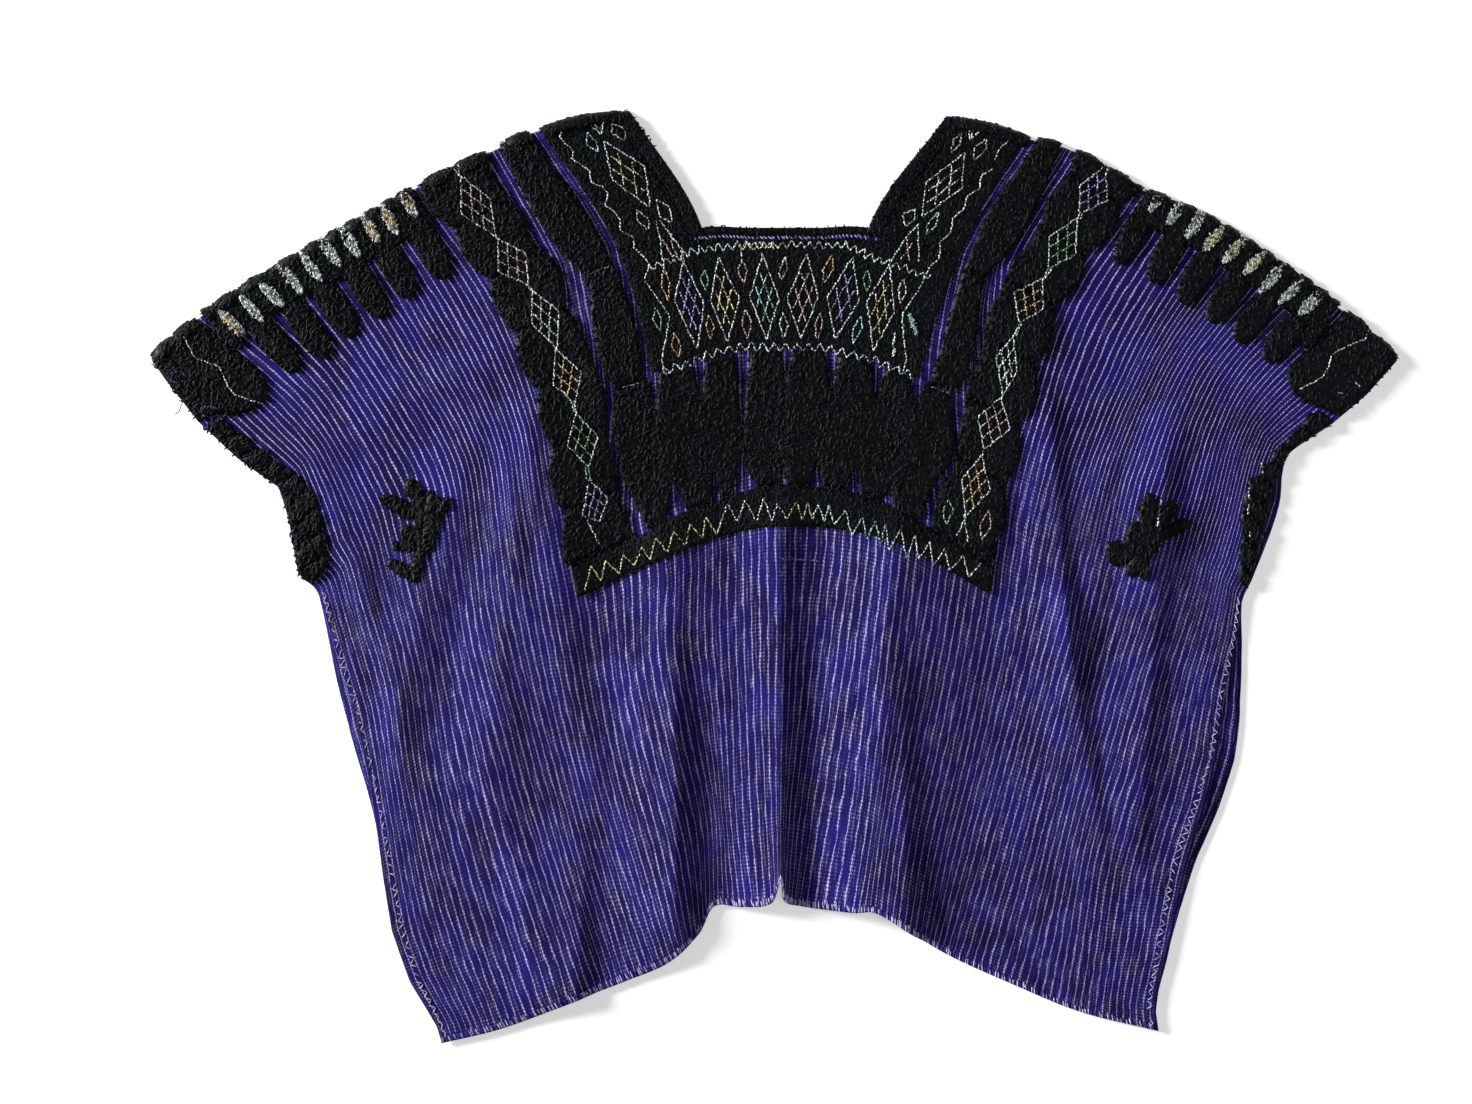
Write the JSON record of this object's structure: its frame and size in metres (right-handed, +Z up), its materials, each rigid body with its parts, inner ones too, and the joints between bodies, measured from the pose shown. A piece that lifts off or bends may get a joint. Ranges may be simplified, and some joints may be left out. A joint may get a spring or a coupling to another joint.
{
  "type": "square-necked handwoven blouse",
  "caption": "Wide square-necked blouse of warp-striped handwoven cloth, laid out flat with its front up, with thick pile embroidery round the neck, chest, shoulders and arm openings",
  "frame": {"origin": "middle of the underside, on the surface it lies on", "axes": "+X across the blouse to the right as seen from above, +Y from the hem to the neck, +Z up from the surface"},
  "size_m": [0.9228, 0.6898, 0.0181],
  "materials": {
    "cloth": "matt, with fine pale warp stripes",
    "yarn": "matt looped pile"
  },
  "bodies": {
    "root": {"back": "cloth", "front": "cloth", "neck_edging": "yarn", "neck_panel": "yarn", "chest_block": "yarn", "chest_band": "yarn", "strap_left": "yarn", "inner_column_left": "yarn", "outer_column_left": "yarn", "shoulder_row_left": "yarn", "sleeve_end_left": "yarn", "armhole_edging_left": "yarn", "strap_right": "yarn", "inner_column_right": "yarn", "outer_column_right": "yarn", "shoulder_row_right": "yarn", "sleeve_end_right": "yarn", "armhole_edging_right": "yarn", "spray_left": "yarn", "spray_right": "yarn"}
  },
  "joints": []
}
